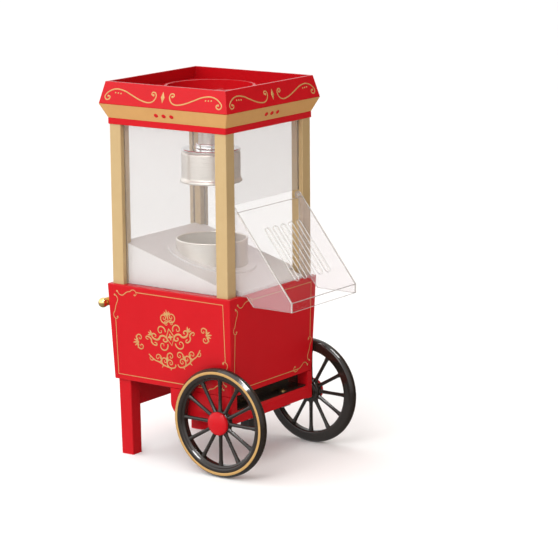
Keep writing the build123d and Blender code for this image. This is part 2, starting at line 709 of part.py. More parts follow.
def hopper_funnel():
    """Funnel from the well down into the kettle's neck."""
    top = LEDGE_Z - LEDGE_THICK
    spout = NECK_RADIUS - NECK_WALL - 0.3
    wall = FUNNEL_WALL
    mouth = LEDGE_RADIUS
    with BuildPart() as funnel:
        with BuildSketch(Plane.XZ):
            with BuildLine():
                Polyline((spout, NECK_TOP_Z - 6), (spout, NECK_TOP_Z + 1), (mouth, top - 1.5),
                         (mouth + 8, top - 1.5), (mouth + 8, top), (mouth - 1, top),
                         (spout - wall, NECK_TOP_Z + 2), (spout - wall, NECK_TOP_Z - 6), close=True)
            make_face()
        revolve(axis=Axis.Z)
    return funnel.part


def measuring_cap():
    """Lid with a grip on top and a cup below, used to measure the kernels."""
    top = LEDGE_Z + CAP_PLATE
    long, wide, tall = CAP_GRIP
    grip = block(-long / 2, long / 2, -wide / 2, wide / 2, top - 1, top + tall)
    plate = fillet(rod(WELL_RADIUS - FIT_GAP, LEDGE_Z, top).edges().group_by(Axis.Z)[-1], 0.8)
    cap = plate + fillet(grip.edges().group_by(Axis.Z)[-1], 1.5)
    cap += rod(CAP_CUP_RADIUS, LEDGE_Z - CAP_CUP_DEPTH, LEDGE_Z)
    return cap - rod(CAP_CUP_RADIUS - CAP_CUP_WALL, LEDGE_Z - CAP_CUP_DEPTH - 1, LEDGE_Z)


# ---------------------------------------------------------------- kettle

def kettle_neck():
    return tube(NECK_RADIUS, NECK_RADIUS - NECK_WALL, FLANGE_TOP_Z - 4, NECK_TOP_Z)


def kettle_flange():
    ring = tube(FLANGE_RADIUS, NECK_RADIUS, FLANGE_Z, FLANGE_TOP_Z)
    return ring - kettle_screws()


def kettle_screws():
    screws = Part()
    for turn in range(4):
        height = (FLANGE_Z + FLANGE_TOP_Z) / 2
        screw = rod_x(1.7, NECK_RADIUS + 0.5, FLANGE_RADIUS + 0.6, 0, height)
        screws += Rot(0, 0, 45 + 90 * turn) * screw
    return screws


def kettle_top_plate():
    return tube(DRUM_RADIUS, NECK_RADIUS - NECK_WALL, DRUM_TOP_Z, FLANGE_Z)


def kettle_drum():
    """Open-bottomed drum with a rolled bead around its lower edge."""
    inner = DRUM_RADIUS - 0.4 - DRUM_WALL
    bead = tube(DRUM_RIM_RADIUS, inner, DRUM_Z, DRUM_Z + DRUM_RIM_HEIGHT)
    bead = fillet(circle_edges(bead, DRUM_RIM_RADIUS), 1.0)
    return bead + tube(DRUM_RADIUS - 0.4, inner, DRUM_Z, DRUM_TOP_Z)


# ---------------------------------------------------------------- chute hood

def hood_direction():
    """Unit vector down the sloping panel, and its length."""
    dy = HOOD_FRONT_Y - HOOD_TOP[0]
    dz = HOOD_FOLD_Z - HOOD_TOP[1]
    length = math.hypot(dy, dz)
    return dy / length, dz / length, length


def hood_wing(x0):
    """Clear side cheek: notched to clear the base, with an ear for the pin."""
    with BuildPart() as wing:
        with BuildSketch(Plane.YZ):
            with BuildLine():
                Polyline((HOOD_NOTCH_Y, HOOD_NOTCH_Z), (HOOD_BACK_Y, HOOD_NOTCH_Z), (HOOD_BACK_Y, HINGE_Z),
                         HOOD_TOP, (HOOD_FRONT_Y, HOOD_FOLD_Z), (HOOD_FRONT_Y, HOOD_LIP_Z),
                         (HOOD_NOTCH_Y - HOOD_CORNER, HOOD_LIP_Z))
                ThreePointArc((HOOD_NOTCH_Y - HOOD_CORNER, HOOD_LIP_Z),
                              (HOOD_NOTCH_Y - 2.6, HOOD_LIP_Z + 3), (HOOD_NOTCH_Y, HOOD_NOTCH_Z))
            make_face()
            with Locations((HINGE_Y, HINGE_Z)):
                Circle(EAR_RADIUS)
        extrude(amount=HOOD_WALL)
    return Pos(x0, 0, 0) * wing.part


def chute_hood():
    """Clear hood: sloping slotted panel, short lip, two cheeks and hinge pins."""
    down_y, down_z, length = hood_direction()
    inward = (-down_z * HOOD_WALL, down_y * HOOD_WALL)
    top_inner = (HOOD_TOP[0] + inward[0], HOOD_TOP[1] + inward[1])
    panel = [HOOD_TOP, (HOOD_FRONT_Y, HOOD_FOLD_Z), (HOOD_FRONT_Y, HOOD_LIP_Z),
             (HOOD_FRONT_Y + HOOD_WALL, HOOD_LIP_Z),
             (HOOD_FRONT_Y + HOOD_WALL, HOOD_FOLD_Z + HOOD_WALL * 0.35), top_inner]
    hood = prism_x(panel, -HOOD_HALF_X, HOOD_HALF_X)
    hood += hood_wing(-HOOD_HALF_X) + hood_wing(HOOD_HALF_X - HOOD_WALL)
    slope = math.degrees(math.atan2(-down_z, -down_y))
    for column in range(SLOT_COUNT):
        x = (column - (SLOT_COUNT - 1) / 2) * SLOT_PITCH
        along = SLOT_START + SLOT_LENGTH / 2
        centre = Pos(x, HOOD_TOP[0] + down_y * along, HOOD_TOP[1] + down_z * along)
        slot = extrude(SlotOverall(SLOT_LENGTH, SLOT_WIDTH), 8, both=True)
        hood -= centre * (Rot(slope, 0, 0) * (Rot(0, 0, 90) * slot))
    pin_end = PILLAR_INNER[0] + PIN_REACH
    pins = rod_x(SHAFT_RADIUS, -pin_end, pin_end, HINGE_Y, HINGE_Z)
    inner = HOOD_HALF_X - HOOD_WALL
    return hood + (pins - block(-inner, inner, -100, 0, 0, TOTAL_HEIGHT))


# ---------------------------------------------------------------- all the nodes

def pair(name, make):
    """A left and a right version of one piece; left is -X."""
    return {f"{name}_left": make(-1), f"{name}_right": make(1)}


def all_nodes():
    nodes = {
        "base_shell": base_shell(),
        "base_deck": base_deck(),
        "chassis_pan": chassis_pan(),
        "pan_screws": pan_screws(),
        "axle_beam": axle_beam(),
        "axle_spacer": axle_spacer(),
        "spacer_screws": spacer_screws(),
        "axle_keepers": axle_keepers(),
        "underframe_rail": underframe_rail(),
        "rail_bumper": rail_bumper(),
        "axle": axle(),
        "axle_washers": axle_washers(),
        "rear_apron": rear_apron(),
        "handle_bar": handle_bar(),
        "handle_posts": handle_posts(),
        "switch_housing": switch_housing(),
        "switch_rocker": switch_rocker(),
        "cord_gland": cord_gland(),
        "pillar_front_left": pillar(-1, -1),
        "pillar_front_right": pillar(1, -1),
        "pillar_rear_left": pillar(-1, 1),
        "pillar_rear_right": pillar(1, 1),
        "window_rear": rear_window(),
        "window_front": front_window(),
        "popcorn_ramp": popcorn_ramp(),
        "chamber_collar": chamber_collar(),
        "popping_chamber": popping_chamber(),
        "air_duct": air_duct(),
        "heater_frame": heater_frame(),
        "heater_coil": heater_coil(),
        "thermostat": thermostat(),
        "fan_housing": fan_housing(),
        "motor_mount": motor_mount(),
        "motor_body": motor_body(),
        "fan_shaft": fan_shaft(),
        "fan_impeller": fan_impeller(),
        "canopy_skirt": canopy_skirt(),
        "canopy_band": canopy_band(),
        "canopy_crown": canopy_crown(),
        "canopy_ceiling": canopy_ceiling(),
        "hopper_funnel": hopper_funnel(),
        "measuring_cap": measuring_cap(),
        "kettle_neck": kettle_neck(),
        "kettle_flange": kettle_flange(),
        "kettle_screws": kettle_screws(),
        "kettle_top_plate": kettle_top_plate(),
        "kettle_drum": kettle_drum(),
        "chute_hood": chute_hood(),
    }
    nodes |= pair("axle_bracket", axle_bracket)
    nodes |= pair("rear_leg", rear_leg)
    nodes |= pair("window", side_window)
    nodes |= pair("wheel", wheel_rim)
    nodes |= pair("wheel_stripe", wheel_stripe)
    nodes |= pair("hub_cap", hub_cap)
    return nodes


def main():
    os.makedirs("parts", exist_ok=True)
    for name, shape in all_nodes().items():
        export_step(Pos(0, SHIFT_Y, 0) * shape, f"parts/{name}.step")


main()
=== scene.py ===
import cmath
import json
import math

import bmesh
import bpy
from mathutils import Matrix, Vector


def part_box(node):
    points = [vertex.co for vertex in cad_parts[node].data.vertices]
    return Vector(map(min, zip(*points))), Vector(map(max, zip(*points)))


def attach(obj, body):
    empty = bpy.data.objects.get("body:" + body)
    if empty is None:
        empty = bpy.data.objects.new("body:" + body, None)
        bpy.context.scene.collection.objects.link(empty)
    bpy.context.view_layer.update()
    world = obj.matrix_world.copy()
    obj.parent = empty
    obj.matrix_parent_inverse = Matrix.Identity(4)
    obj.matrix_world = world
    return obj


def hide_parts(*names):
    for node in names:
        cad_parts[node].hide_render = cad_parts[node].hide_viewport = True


# Tabletop popcorn cart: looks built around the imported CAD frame. Metres, +Z up, chute towards -Y.

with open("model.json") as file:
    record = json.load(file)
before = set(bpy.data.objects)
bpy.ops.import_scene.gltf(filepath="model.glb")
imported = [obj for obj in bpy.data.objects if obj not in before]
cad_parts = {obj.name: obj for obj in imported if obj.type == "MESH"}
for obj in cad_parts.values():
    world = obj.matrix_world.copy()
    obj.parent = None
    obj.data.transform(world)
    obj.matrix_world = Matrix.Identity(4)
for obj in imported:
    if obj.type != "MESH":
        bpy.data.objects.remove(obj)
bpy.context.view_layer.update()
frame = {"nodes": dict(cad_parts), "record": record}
MM = 0.001
SHARP_ANGLE = math.radians(40)
X_AXIS, Y_AXIS, Z_AXIS = Vector((1, 0, 0)), Vector((0, 1, 0)), Vector((0, 0, 1))
SIDES = {"left": -1, "right": 1}

# ---------------------------------------------------------------- places read from the frame, and given sizes of the base and canopy
band_low, band_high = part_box("canopy_band")
MID_Y = (band_low.y + band_high.y) / 2
base_low, base_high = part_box("base_shell")
BASE_BOTTOM_HALF = Vector((81.0, 85.5)) * MM
BASE_TOP_HALF = Vector((87.0, 89.0)) * MM
crown_low, crown_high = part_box("canopy_crown")
CROWN_Z = band_high.z
CROWN_HALF = band_high.x
RIM_HALF = 86.0 * MM
SKIRT_HALF = 84.5 * MM


# ---------------------------------------------------------------- materials

def surface(name, colour, second, roughness, bump=0.05, scale=60.0, stretch=(1, 1, 1), **sockets):
    """Principled material whose colour, gloss and relief vary with noise over the object."""
    material = bpy.data.materials.new(name)
    material.use_nodes = True
    nodes, links = material.node_tree.nodes, material.node_tree.links
    shader = nodes["Principled BSDF"]
    for socket, value in sockets.items():
        shader.inputs[socket.replace("_", " ")].default_value = value
    where = nodes.new("ShaderNodeTexCoord")
    mapping = nodes.new("ShaderNodeMapping")
    mapping.inputs["Scale"].default_value = stretch
    links.new(where.outputs["Object"], mapping.inputs["Vector"])
    broad = noise(material, mapping, scale, 4.0)
    mix = nodes.new("ShaderNodeMix")
    mix.data_type = "RGBA"
    mix.inputs["A"].default_value = (*colour, 1)
    mix.inputs["B"].default_value = (*second, 1)
    links.new(broad.outputs["Fac"], mix.inputs["Factor"])
    links.new(mix.outputs["Result"], shader.inputs["Base Color"])
    fine = noise(material, mapping, scale * 9, 2.0)
    gloss = nodes.new("ShaderNodeMapRange")
    gloss.inputs["To Min"].default_value = roughness * 0.75
    gloss.inputs["To Max"].default_value = roughness * 1.25
    links.new(fine.outputs["Fac"], gloss.inputs["Value"])
    links.new(gloss.outputs["Result"], shader.inputs["Roughness"])
    relief = nodes.new("ShaderNodeBump")
    relief.inputs["Strength"].default_value = bump
    relief.inputs["Distance"].default_value = 0.2 * MM
    links.new(fine.outputs["Fac"], relief.inputs["Height"])
    links.new(relief.outputs["Normal"], shader.inputs["Normal"])
    return material


def noise(material, mapping, scale, detail):
    texture = material.node_tree.nodes.new("ShaderNodeTexNoise")
    texture.inputs["Scale"].default_value = scale
    texture.inputs["Detail"].default_value = detail
    material.node_tree.links.new(mapping.outputs["Vector"], texture.inputs["Vector"])
    return texture


def clear_sheet(name, tint, face_alpha, edge_alpha, roughness):
    """Clear acrylic: nearly invisible face on, milky where it is seen along its surface."""
    second = [channel * 0.96 for channel in tint]
    material = surface(name, tint, second, roughness, bump=0.02, scale=20, Specular_IOR_Level=0.8)
    nodes, links = material.node_tree.nodes, material.node_tree.links
    facing = nodes.new("ShaderNodeLayerWeight")
    facing.inputs["Blend"].default_value = 0.35
    alpha = nodes.new("ShaderNodeMapRange")
    alpha.inputs["To Min"].default_value = face_alpha
    alpha.inputs["To Max"].default_value = edge_alpha
    links.new(facing.outputs["Facing"], alpha.inputs["Value"])
    links.new(alpha.outputs["Result"], nodes["Principled BSDF"].inputs["Alpha"])
    return material


red = surface("red_gloss", (0.47, 0.006, 0.011), (0.43, 0.005, 0.009), 0.22, 0.04, 35,
              Specular_IOR_Level=0.16)
gold = surface("gold_satin", (0.50, 0.355, 0.175), (0.46, 0.315, 0.145), 0.4, 0.08, 80, Metallic=0.25)
gold_band = surface("gold_band", (0.60, 0.325, 0.11), (0.54, 0.28, 0.085), 0.4, 0.08, 80, Metallic=0.2)
gold_line = surface("gold_line", (0.50, 0.30, 0.10), (0.43, 0.245, 0.075), 0.4, 0.1, 220, Metallic=0.15)
black = surface("black_gloss", (0.013, 0.009, 0.007), (0.019, 0.014, 0.011), 0.11, 0.03, 50)
matt_black = surface("black_matt", (0.014, 0.013, 0.013), (0.024, 0.023, 0.022), 0.5, 0.25, 150)
rubber = surface("rubber", (0.02, 0.02, 0.02), (0.03, 0.03, 0.03), 0.7, 0.4, 200)
brass = surface("brass_polished", (0.83, 0.58, 0.24), (0.74, 0.49, 0.18), 0.18, 0.04, 60, Metallic=1.0)
white = surface("white_satin", (0.67, 0.645, 0.635), (0.63, 0.605, 0.595), 0.4, 0.06, 40)
brushed = surface("aluminium_turned", (0.84, 0.80, 0.74), (0.74, 0.70, 0.63), 0.3, 0.25, 6,
                  stretch=(1, 1, 90), Metallic=0.7)
polished = surface("chrome", (0.86, 0.85, 0.84), (0.80, 0.79, 0.78), 0.1, 0.03, 30, Metallic=1.0)
steel = surface("zinc_steel", (0.60, 0.60, 0.60), (0.50, 0.50, 0.51), 0.32, 0.15, 90, Metallic=1.0)
wire = surface("heated_wire", (0.36, 0.28, 0.22), (0.22, 0.20, 0.22), 0.4, 0.2, 300, Metallic=1.0)
mica = surface("mica_board", (0.62, 0.55, 0.42), (0.50, 0.43, 0.30), 0.6, 0.4, 160)
clear = clear_sheet("acrylic_face", (0.55, 0.535, 0.53), 0.08, 0.4, 0.05)
clear_hood = clear_sheet("acrylic_hood", (0.50, 0.48, 0.49), 0.01, 0.07, 0.05)
clear_cheek = clear_sheet("acrylic_cheek", (0.62, 0.56, 0.58), 0.14, 0.4, 0.05)
# Edge faces of the hood and the pins: pale cream and nearly opaque, a painted highlight for the light that
# glows in polished acrylic edges.
acrylic_painted_highlight = clear_sheet("acrylic_edge_painted_highlight", (0.74, 0.72, 0.68), 0.62, 0.9, 0.12)
# Bevels between the hood's faces and edges: dark and half opaque, painted shade for the dark lines seen
# along acrylic edges.
acrylic_painted_dark_line = clear_sheet("acrylic_line_painted_shade", (0.20, 0.18, 0.17), 0.5, 0.7, 0.12)
# Slots for the panel and lip, then the cheeks: clear face, edge with painted highlight, bevel with painted
# dark line.
HOOD_MATERIALS = (clear_hood, acrylic_painted_highlight, acrylic_painted_dark_line, clear_cheek, acrylic_painted_highlight, acrylic_painted_dark_line)

SLOT_MATERIALS = {
    "red_plastic": red, "gold_paint": gold, "black_plastic": black, "black_rubber": rubber,
    "brass": brass, "clear_acrylic": clear, "white_plastic": white, "brushed_aluminium": brushed,
    "polished_metal": polished, "steel": steel, "heater_wire": wire, "mica_board": mica,
}


def dress_cad_nodes():
    """Every CAD node gets the detailed material of its slot, and the canopy's band a warmer gold."""
    for part in frame["record"]["subparts"]:
        mesh = frame["nodes"][part["node"]].data
        mesh.materials.clear()
        mesh.materials.append(SLOT_MATERIALS[part["material_slot"]])
    frame["nodes"]["canopy_band"].data.materials[0] = gold_band


# ---------------------------------------------------------------- mesh helpers

def add_piece(name, mesh, body, slot, *materials):
    """A finished mesh becomes a piece that rides on a body."""
    piece = bpy.data.objects.new(name, mesh)
    bpy.context.scene.collection.objects.link(piece)
    for material in materials:
        mesh.materials.append(material)
    for polygon in mesh.polygons:
        polygon.use_smooth = True
    mesh.set_sharp_from_angle(angle=SHARP_ANGLE)
    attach(piece, body)
    return piece


def to_mesh(bm, place=None):
    bmesh.ops.recalc_face_normals(bm, faces=bm.faces)
    if place is not None:
        bm.transform(place)
    mesh = bpy.data.meshes.new("shape")
    bm.to_mesh(mesh)
    bm.free()
    return mesh


def merged(meshes):
    bm = bmesh.new()
    for mesh in meshes:
        bm.from_mesh(mesh)
    result = bpy.data.meshes.new("merged")
    bm.to_mesh(result)
    bm.free()
    for mesh in meshes:
        bpy.data.meshes.remove(mesh)
    return result


def soften(points, radius, steps=4):
    """The closed outline with each corner rounded by a short curve."""
    result = []
    count = len(points)
    for i, point in enumerate(points):
        corner = Vector(point)
        before = Vector(points[i - 1]) - corner
        after = Vector(points[(i + 1) % count]) - corner
        cut = min(radius, before.length * 0.45, after.length * 0.45)
        start, end = corner + before.normalized() * cut, corner + after.normalized() * cut
        for step in range(steps + 1):
            t = step / steps
            result.append(start * (1 - t) ** 2 + corner * 2 * t * (1 - t) + end * t ** 2)
    return result


def lathe(outline, place, steps=96):
    """A closed (radius, height) outline turned about the place's Z axis."""
    bm = bmesh.new()
    rings = []
    for step in range(steps):
        angle = 2 * math.pi * step / steps
        rings.append([bm.verts.new((r * math.cos(angle), r * math.sin(angle), h)) for r, h in outline])
    count = len(outline)
    for i, ring in enumerate(rings):
        other = rings[(i + 1) % steps]
        for j in range(count):
            k = (j + 1) % count
            bm.faces.new((ring[j], other[j], other[k], ring[k]))
    bmesh.ops.remove_doubles(bm, verts=bm.verts, dist=1e-6)
    bmesh.ops.dissolve_degenerate(bm, edges=bm.edges, dist=1e-7)
    return to_mesh(bm, place)


def axis_place(centre, direction):
    """Frame whose local Z points along direction."""
    return Matrix.Translation(centre) @ direction.to_track_quat("Z", "Y").to_matrix().to_4x4()


def face_place(centre, normal, up):
    """Frame on a panel: local X across, local Y up the panel, local Z outwards."""
    across = up.cross(normal)
    place = Matrix((across, up, normal)).transposed().to_4x4()
    place.translation = centre
    return place


def strokes(paths, place, flatness=0.3, smooth=2):
    """Round lines flattened onto a panel. Each path is a list of (across, up, half width)."""
    curve = bpy.data.curves.new("strokes", "CURVE")
    curve.dimensions = "3D"
    curve.bevel_depth = 1.0
    curve.bevel_resolution = smooth
    curve.use_fill_caps = True
    for path in paths:
        spline = curve.splines.new("POLY")
        spline.points.add(len(path) - 1)
        for point, (across, up, half) in zip(spline.points, path):
            point.co = (across, up, 0, 1)
            point.radius = half
    holder = bpy.data.objects.new("strokes", curve)
    mesh = bpy.data.meshes.new_from_object(holder)
    bpy.data.objects.remove(holder)
    mesh.transform(place @ Matrix.Diagonal((1, 1, flatness, 1)))
    return mesh


def dots(places, place, flatness=0.4):
    """Flattened balls on a panel. Each is (across, up, half width, half height)."""
    bm = bmesh.new()
    for across, up, half_wide, half_tall in places:
        made = bmesh.ops.create_uvsphere(bm, u_segments=20, v_segments=10, radius=1.0)
        size = Matrix.Diagonal((half_wide, half_tall, flatness * half_tall, 1))
        placed = Matrix.Translation((across, up, 0)) @ size
        bmesh.ops.transform(bm, verts=made["verts"], matrix=placed)
    return to_mesh(bm, place)


def slab(x0, x1, y0, y1, z0, z1, edge, place=None):
    """A box with rounded edges."""
    bm = bmesh.new()
    bmesh.ops.create_cube(bm, size=1.0)
    size = Matrix.Diagonal((x1 - x0, y1 - y0, z1 - z0, 1))
    bm.transform(Matrix.Translation(((x0 + x1) / 2, (y0 + y1) / 2, (z0 + z1) / 2)) @ size)
    bmesh.ops.bevel(bm, geom=bm.edges[:], offset=edge, segments=3, affect="EDGES")
    return to_mesh(bm, place)


def cut_sheet(loops, thickness, edge, place, first=0):
    """A flat sheet with holes and rounded edges.

    Its faces, edges and bevels take the material slots first, first + 1 and first + 2.
    """
    curve = bpy.data.curves.new("sheet", "CURVE")
    curve.dimensions = "2D"
    curve.fill_mode = "BOTH"
    curve.extrude = thickness / 2 - edge
    curve.bevel_depth = edge
    curve.bevel_resolution = 2
    curve.offset = -edge
    for loop in loops:
        spline = curve.splines.new("POLY")
        spline.points.add(len(loop) - 1)
        for point, (across, up) in zip(spline.points, loop):
            point.co = (across, up, 0, 1)
        spline.use_cyclic_u = True
    holder = bpy.data.objects.new("sheet", curve)
    mesh = bpy.data.meshes.new_from_object(holder)
    bpy.data.objects.remove(holder)
    for polygon in mesh.polygons:
        slope = abs(polygon.normal.z)
        polygon.material_index = first + (0 if slope > 0.97 else 1 if slope < 0.2 else 2)
    mesh.transform(place)
    return mesh


# ---------------------------------------------------------------- ornament lines

CURL_CLOSING = 2.2


def curl(start, eye, turns, hand=1, width=0.8, steps=40):
    """A line that winds from start in to its eye; hand 1 winds anticlockwise."""
    outer, middle = complex(*start), complex(*eye)
    path = []
    for step in range(steps + 1):
        t = step / steps
        winding = complex(-CURL_CLOSING * t ** 1.5, hand * 2 * math.pi * turns * t)
        spot = middle + (outer - middle) * cmath.exp(winding)
        path.append((spot.real, spot.imag, width * (1 - 0.55 * t)))
    return path


def double_scroll(eye0, eye1, turns, hand=1, slim=0.6, width=1.0):
    """An S scroll between two eyes; slim is its height for its length."""
    near, far = complex(*eye0), complex(*eye1)
    middle, reach = (near + far) / 2, (far - near) / 2
    path = []
    for across, up, half in curl((0, 0), (1, 0), turns, hand, width):
        spot = complex(across, up * slim) * reach
        path.append((spot.real, spot.imag, half))
    other = [(-across, -up, half) for across, up, half in reversed(path)]
    return [(middle.real + across, middle.imag + up, half) for across, up, half in other + path[1:]]


def leaf(start, angle, length, width):
    """A short stroke that swells in its middle."""
    points = []
    for step in range(9):
        t = step / 8
        reach = length * t
        half = max(width * math.sin(math.pi * min(1, t * 0.9 + 0.1)) ** 0.8, 0.05 * MM)
        points.append((start[0] + reach * math.cos(angle), start[1] + reach * math.sin(angle), half))
    return points


def line(points, width):
    return [(across, up, width) for across, up in points]


def wavy(points, width, steps=10):
    """A smooth line through a few points."""
    result = []
    count = len(points)
    for i in range(count - 1):
        p0, p1 = Vector(points[max(i - 1, 0)]), Vector(points[i])
        p2, p3 = Vector(points[i + 1]), Vector(points[min(i + 2, count - 1)])
        for step in range(steps + (i == count - 2)):
            t = step / steps
            spot = 0.5 * ((2 * p1) + (p2 - p0) * t + (2 * p0 - 5 * p1 + 4 * p2 - p3) * t * t
                          + (3 * p1 - p0 - 3 * p2 + p3) * t ** 3)
            result.append((spot.x, spot.y, width))
    return result


def scaled(paths):
    return [[tuple(value * MM for value in point) for point in path] for path in paths]


def turned(paths):
    """The same lines turned half a turn about the panel's middle."""
    return [[(-point[0], -point[1], *point[2:]) for point in path] for path in paths]


def flipped(paths):
    """The same lines mirrored left to right."""
    return [[(-point[0], *point[1:]) for point in path] for path in paths]


def tilted(paths, angle, centre):
    """The same lines turned about a point."""
    c, s = math.cos(angle), math.sin(angle)
    result = []
    for path in paths:
        moved = []
        for a, b, *rest in path:
            moved.append((centre[0] + a * c - b * s, centre[1] + a * s + b * c, *rest))
        result.append(moved)
    return result


# ---------------------------------------------------------------- base panels

BASE_MID_Z = (base_low.z + base_high.z) / 2
BORDER_HALF_WIDTH = 0.5


def base_face(axis):
    """Place in the middle of a side (axis 0) or front and rear (axis 1) wall, on the -X or -Y side."""
    lean = math.atan2(BASE_TOP_HALF[axis] - BASE_BOTTOM_HALF[axis], base_high.z - base_low.z)
    reach = (BASE_TOP_HALF[axis] + BASE_BOTTOM_HALF[axis]) / 2
    out = -X_AXIS if axis == 0 else -Y_AXIS
    normal = out * math.cos(lean) - Z_AXIS * math.sin(lean)
    up = out * math.sin(lean) + Z_AXIS * math.cos(lean)
    centre = Vector((0, MID_Y, BASE_MID_Z)) + out * reach
    return face_place(centre, normal, up)


def corner_flourish():
    """Two wavy tails that leave a corner, drawn for the upper left corner in millimetres."""
    along = wavy([(4.5, -1.3), (7.5, -4.8), (12.5, -5.4), (18.5, -1.2), (24.0, 0.2)], 0.5)
    down = wavy([(0.6, -6.2), (3.6, -8.6), (4.2, -12.6), (1.4, -19.0), (-0.8, -26.6)], 0.5)
    hooks = [
        curl((24.0, 0.2), (29.6, -2.8), 0.8, -1, 0.5),
        curl((-0.8, -26.6), (2.4, -32.0), 0.8, 1, 0.5),
    ]
    beads = [
        (4.2, -1.5, 1.2, 1.2), (0.4, -6.3, 1.2, 1.2),
        (30.0, -3.6, 1.05, 1.05), (2.8, -33.0, 1.05, 1.05),
    ]
    return [along, down] + hooks, beads


def border(half_across, half_up, start_across, start_down):
    """Thin border with a flourish in two opposite corners."""
    tails, beads = corner_flourish()
    tails = [[(-half_across + a, half_up + b, w) for a, b, w in path] for path in tails]
    beads = [(-half_across + a, half_up + b, *size) for a, b, *size in beads]
    rails = [line([(-half_across + start_across, half_up), (half_across, half_up),
                   (half_across, -half_up + start_down)], BORDER_HALF_WIDTH)]
    return tails + turned(tails) + rails + turned(rails), beads + turned([beads])[0]


def fanned(start, angles, length, width):
    return [leaf(start, math.radians(angle), length, width) for angle in angles]


def palmette():
    """Spear of leaves over paired curls, in millimetres about its middle."""
    half = [curl((0.3, -5.6), (5.4, -1.6), 1.6, 1, 0.85), curl((0.3, -6.2), (3.4, -8.6), 1.1, -1, 0.6)]
    half += fanned((0.7, 1.2), (32, 60), 5.6, 0.85)
    return half + flipped(half) + fanned((0, -4.6), (90,), 13.2, 1.1)


def half_palmette():
    """Fan of leaves that opens to the left over two curls."""
    half = [curl((0, 0), (2.6, 4.9), 1.35, -1, 0.8)]
    half += fanned((-1.2, 1.0), (152,), 6.4, 0.85) + fanned((-0.4, 2.4), (120,), 6.0, 0.8)
    lower = [[(across, -up, width) for across, up, width in path] for path in half]
    return half + lower + fanned((-1.6, 0), (180,), 7.2, 0.95)


def scrollwork():
    """One half of the scrollwork under the medallion: a rising stem with curls and leaves."""
    rising = [(1.6, -6.4), (3.4, -9.8), (9.5, -10.2), (17.5, -7.0), (25.0, -2.2), (32.0, 1.4), (38.5, 8.4)]
    paths = [
        wavy(rising, 0.7),
        curl((9.5, -10.2), (8.8, -4.4), 1.5, 1, 0.85),
        curl((17.5, -7.0), (16.6, -1.4), 1.45, 1, 0.85),
        curl((25.5, -2.0), (25.8, 3.6), 1.35, -1, 0.75),
        curl((11.5, 1.0), (6.6, 3.4), 1.3, 1, 0.8),
        curl((33.0, 2.0), (35.8, 4.2), 1.1, 1, 0.6),
    ]
    paths += fanned((8.8, -9.8), (-60,), 3.8, 0.7) + fanned((20.0, -5.8), (-50,), 4.2, 0.7)
    return paths + fanned((12.4, -1.0), (72, 110), 4.6, 0.75) + fanned((21.6, 1.2), (60, 95), 4.2, 0.7)


def medallion():
    """Generic band of scrolls around a lozenge, in millimetres about its middle."""
    half = [
        double_scroll((9.5, -2.6), (22.5, 3.4), 1.25, 1, 0.72, 1.15),
        double_scroll((24.0, -5.4), (34.0, 0.6), 1.0, -1, 0.6, 0.95),
        curl((5.8, 6.4), (12.4, 8.2), 1.2, -1, 0.85),
        curl((5.8, -8.0), (13.0, -9.0), 1.2, 1, 0.85),
    ]
    half += fanned((27.0, 4.6), (5, 42, 80), 6.2, 1.0)
    centre = [line([(0, 10), (6, 0), (0, -10), (-6, 0), (0, 10)], 0.6)]
    return half + flipped(half) + centre + fanned((0, 0), (0, 90, 180, 270), 4.2, 1.1)


def side_ornament():
    """Palmette, medallion, a fan at each end and scrollwork below, all on one rising slant."""
    slant = math.radians(11)
    paths = tilted(palmette(), slant, (-2.0, 28.0))
    paths += tilted(medallion(), slant, (1.0, 3.5))
    paths += tilted(half_palmette(), slant, (-46.0, -8.0))
    paths += tilted(flipped(half_palmette()), slant, (53.0, 12.0))
    lower = scrollwork()
    return paths + tilted(lower + flipped(lower), slant, (7.5, -22.0))


def ornament(name, place, paths, beads):
    """Gold lines and beads, given in millimetres, as one piece on a panel."""
    shapes = [strokes(scaled(paths), place)]
    if beads:
        shapes.append(dots(scaled([beads])[0], place))
    return add_piece(name, merged(shapes), "cart", "gold_paint", gold_line)


def base_decoration():
    """Borders on all four walls and the scrolls on both sides. Opposite walls are half a turn apart."""
    side = base_face(0)
    to_middle = Matrix.Translation((0, MID_Y, 0))
    other = to_middle @ Matrix.Rotation(math.pi, 4, "Z") @ to_middle.inverted()
    lines, beads = border(79.0, 51.2, 32.0, 34.5)
    for name, place in (("left", side), ("right", other @ side)):
        ornament(f"base_border_{name}", place, lines, beads)
        ornament(f"base_scrolls_{name}", place, side_ornament(), [])
    front = base_face(1)
    lines, beads = border(75.5, 50.8, 22.0, 34.5)
    ornament("base_border_front", front, lines, beads)
    ornament("base_border_rear", other @ front, lines, beads)


# ---------------------------------------------------------------- canopy

def crown_face(turn):
    """Place in the middle of one sloping side of the crown; turn 0 is the -Y side."""
    lean = math.atan2(CROWN_HALF - RIM_HALF, crown_high.z - CROWN_Z)
    out = Matrix.Rotation(math.radians(90 * turn), 3, "Z") @ -Y_AXIS
    normal = out * math.cos(lean) + Z_AXIS * math.sin(lean)
    up = -out * math.sin(lean) + Z_AXIS * math.cos(lean)
    centre = Vector((0, MID_Y, (CROWN_Z + crown_high.z) / 2)) + out * (CROWN_HALF + RIM_HALF) / 2
    return face_place(centre, normal, up)


def band_face(turn):
    """Place in the middle of one sloping side of the gold band."""
    lean = math.atan2(CROWN_HALF - SKIRT_HALF, band_high.z - band_low.z)
    out = Matrix.Rotation(math.radians(90 * turn), 3, "Z") @ -Y_AXIS
    normal = out * math.cos(lean) - Z_AXIS * math.sin(lean)
    up = out * math.sin(lean) + Z_AXIS * math.cos(lean)
    centre = Vector((0, MID_Y, (band_low.z + band_high.z) / 2)) + out * (CROWN_HALF + SKIRT_HALF) / 2
    return face_place(centre, normal, up)


